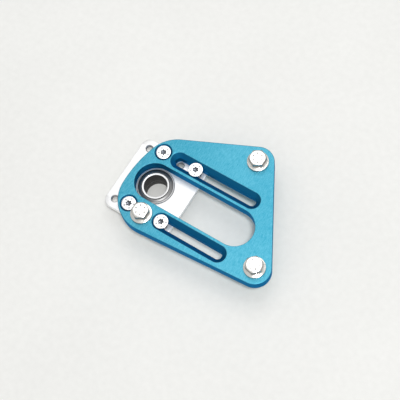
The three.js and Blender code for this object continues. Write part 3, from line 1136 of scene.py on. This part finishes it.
def outer_ring(low, high):
    middle = (low + high) / 2
    low_step, high_step = low + CRIMP_DEPTH, high - CRIMP_DEPTH
    profile = corner(BEARING_R, low, 1, -1, OUTER_EDGE)
    profile += corner(BEARING_R, high, 1, 1, OUTER_EDGE)
    profile += [(CRIMP_R + CRIMP_EDGE, high), (CRIMP_R, high - CRIMP_EDGE), (CRIMP_R, high_step)]
    profile += [(OUTER_LAND_R, high_step), *raceway(1, middle, OUTER_LAND_R)[::-1]]
    profile += [(OUTER_LAND_R, low_step), (CRIMP_R, low_step)]
    profile += [(CRIMP_R, low + CRIMP_EDGE), (CRIMP_R + CRIMP_EDGE, low)]

    # Painted shade: full in the groove and raceway, lighter all over the rest of the ring.
    def in_groove(x, y, z):
        inside = math.hypot(x, y) < CRIMP_R + 0.05 and low + 0.2 < z < high - 0.1
        return 1.0 if inside else FACE_SHADE

    return shade(turned(profile, hollow=True), in_groove)


def inner_ring(low, high):
    middle = (low + high) / 2
    profile = corner(BORE_R, low, -1, -1, BORE_EDGE_LOW)
    profile += [(INNER_LAND_R - LAND_EDGE, low), (INNER_LAND_R, low + LAND_EDGE)]
    profile += raceway(-1, middle, INNER_LAND_R)
    profile += [(INNER_LAND_R, high - LAND_EDGE), (INNER_LAND_R - LAND_EDGE, high)]
    profile += corner(BORE_R, high, -1, 1, BORE_EDGE_HIGH)

    # Painted shade down the bore, and on the land and raceway beside the shield.
    def in_bore(x, y, z):
        radius = math.hypot(x, y)
        if radius < BORE_R + 0.22 and z < high - 0.1:
            return BORE_SHADE
        return float(radius > INNER_LAND_R - 0.1)

    return shade(turned(profile, hollow=True), in_bore)


def shield(face, up):
    """A conical shield, sunk at its rim; up is 1 in the bearing's upper face."""
    near, far = SHIELD_OPEN

    # Painted shade at the rim and the inner lip, where the shield meets the rings.
    def at_rim(x, y, z):
        radius = math.hypot(x, y)
        return float(radius > far or radius < near)

    profile = [(r, face - up * sunk) for r, sunk in SHIELD_OUTSIDE + SHIELD_INSIDE]
    return shade(turned(profile, hollow=True), at_rim)


# %% Balls and cage
BALL_SUBDIVISIONS = 4


def ball_tree():
    inputs = {
        "Balls": "NodeSocketInt",
        "Row radius": "NodeSocketFloat",
        "Ball radius": "NodeSocketFloat",
    }
    tree = Tree("ball_row", inputs)
    row = tree.node(
        "GeometryNodeMeshCircle",
        {},
        {"Vertices": tree.start["Balls"], "Radius": tree.start["Row radius"]},
    )
    one = tree.node(
        "GeometryNodeMeshIcoSphere",
        {},
        {"Radius": tree.start["Ball radius"], "Subdivisions": BALL_SUBDIVISIONS},
    )
    balls = tree.node("GeometryNodeInstanceOnPoints", {}, {"Points": row, "Instance": one})
    tree.close(balls, BALL_STEEL.material)
    return tree


def ball_row(name, height, body):
    values = {"Balls": BALL_COUNT, "Row radius": PITCH_R * MM, "Ball radius": BALL_R * MM}
    mesh = ball_tree().run([(0, 0, 0)], values)
    mesh.transform(Matrix.Translation(Vector(put((0, 0, height)))))
    nodes = [f"{name}_ball_{i + 1:02d}" for i in range(BALL_COUNT)]
    as_piece(f"{name}_balls", mesh, BALL_STEEL, body, *nodes)


CAGE_IN, CAGE_OUT, CAGE_THICK = 9.4, 10.25, 0.22
CAGE_CLEAR = 0.06  # between a ball and its arch
CAGE_SEAM = 0.01  # from the flats to the middle, where the halves meet
STEPS_PER_BALL = 24


def cage_half(height, up):
    """One wavy ribbon: it arches over each ball and lies flat between them."""
    steps = BALL_COUNT * STEPS_PER_BALL
    turn = np.arange(steps) * 2 * math.pi / steps
    pitch = 2 * math.pi / BALL_COUNT
    from_ball = ((turn + pitch / 2) % pitch - pitch / 2) * PITCH_R
    arch = np.sqrt(np.maximum(0, (BALL_R + CAGE_CLEAR) ** 2 - from_ball**2))
    near = np.maximum(arch, CAGE_SEAM)
    section = ((CAGE_IN, 0), (CAGE_OUT, 0), (CAGE_OUT, CAGE_THICK), (CAGE_IN, CAGE_THICK))
    loops = []
    for radius, far in section:
        z = height + up * (near + far)
        loops.append(np.column_stack([radius * np.cos(turn), radius * np.sin(turn), z]))
    return stack(loops, hollow=True)


# %% Bearings in place
for bearing in ("upper_bearing", "lower_bearing"):
    high, low = top_and_bottom(bearing + "_outer_ring")
    middle = (high + low) / 2
    row_body = bearing.replace("bearing", "balls")
    rings = {"outer_ring": (outer_ring, "carriage"), "inner_ring": (inner_ring, "pivot")}
    for part, (make, body) in rings.items():
        node = f"{bearing}_{part}"
        finished(node + "_ground", make(low, high), RING_STEEL, body, node)
    for side, face, up in (("above", high, 1), ("below", low, -1)):
        node = f"{bearing}_shield_{side}"
        finished(node + "_pressed", shield(face, up), SHIELD_STEEL, "carriage", node)
        half = f"{bearing}_cage_half_{side}"
        finished(half, cage_half(middle, up), SHIELD_STEEL, row_body, f"{bearing}_ball_cage")
    ball_row(bearing, middle, row_body)

# %% [markdown]
# ## Spacer
#
# A plain turned sleeve keeps the two inner rings apart, so that they can be clamped
# hard on an axle without pinching the balls.


# %% Spacer in place
SPACER_R = INNER_LAND_R - 0.1
SPACER_EDGE = 0.15


def spacer(top, bottom):
    profile = corner(BORE_R, bottom, -1, -1, SPACER_EDGE)
    profile += corner(SPACER_R, bottom, 1, -1, SPACER_EDGE)
    profile += corner(SPACER_R, top, 1, 1, SPACER_EDGE)
    profile += corner(BORE_R, top, -1, 1, SPACER_EDGE)

    # Painted shade down the bore.
    def in_bore(x, y, z):
        return BORE_SHADE if math.hypot(x, y) < BORE_R + SPACER_EDGE + 0.01 else 0.0

    return shade(turned(profile, hollow=True), in_bore)


sleeve = spacer(*top_and_bottom("inner_spacer"))
finished("inner_spacer_turned", sleeve, RING_STEEL, "pivot", "inner_spacer")
